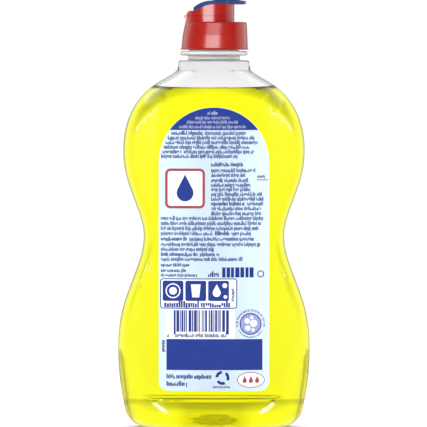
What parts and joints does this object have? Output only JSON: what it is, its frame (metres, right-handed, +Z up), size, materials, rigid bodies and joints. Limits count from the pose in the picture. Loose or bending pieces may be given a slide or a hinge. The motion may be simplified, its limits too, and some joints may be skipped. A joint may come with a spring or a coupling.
{
  "type": "dish soap bottle",
  "caption": "Flat waisted clear squeeze bottle of dish soap with an arched film label on one panel and a push-on flip-top closure with a thumb tab.",
  "frame": {"origin": "middle of the foot, on the surface that the bottle stands on", "axes": "+Z up along the neck, +X along the bottle's width towards the thumb tab, the labelled panel looks along -Y"},
  "size_m": [0.096, 0.0422, 0.2145],
  "materials": {
    "clear_bottle": "clear polished",
    "soap_gel": "clear yellow gel",
    "label_film": "gloss printed film",
    "closure_red": "gloss moulded",
    "cover_blue": "gloss moulded"
  },
  "bodies": {
    "bottle_body": {"bottle": "clear_bottle", "dish_soap": "soap_gel", "back_label": "label_film", "closure_base": "closure_red"},
    "lid_body": {"flip_lid": "closure_red", "lid_cover": "cover_blue"}
  },
  "joints": [
    {"name": "lid_hinge", "type": "hinge", "parent": "bottle_body", "child": "lid_body", "pos_m": [-0.0148, 0, 0.20542], "axis": [0, -1, 0], "range_deg": [0, 165]}
  ]
}
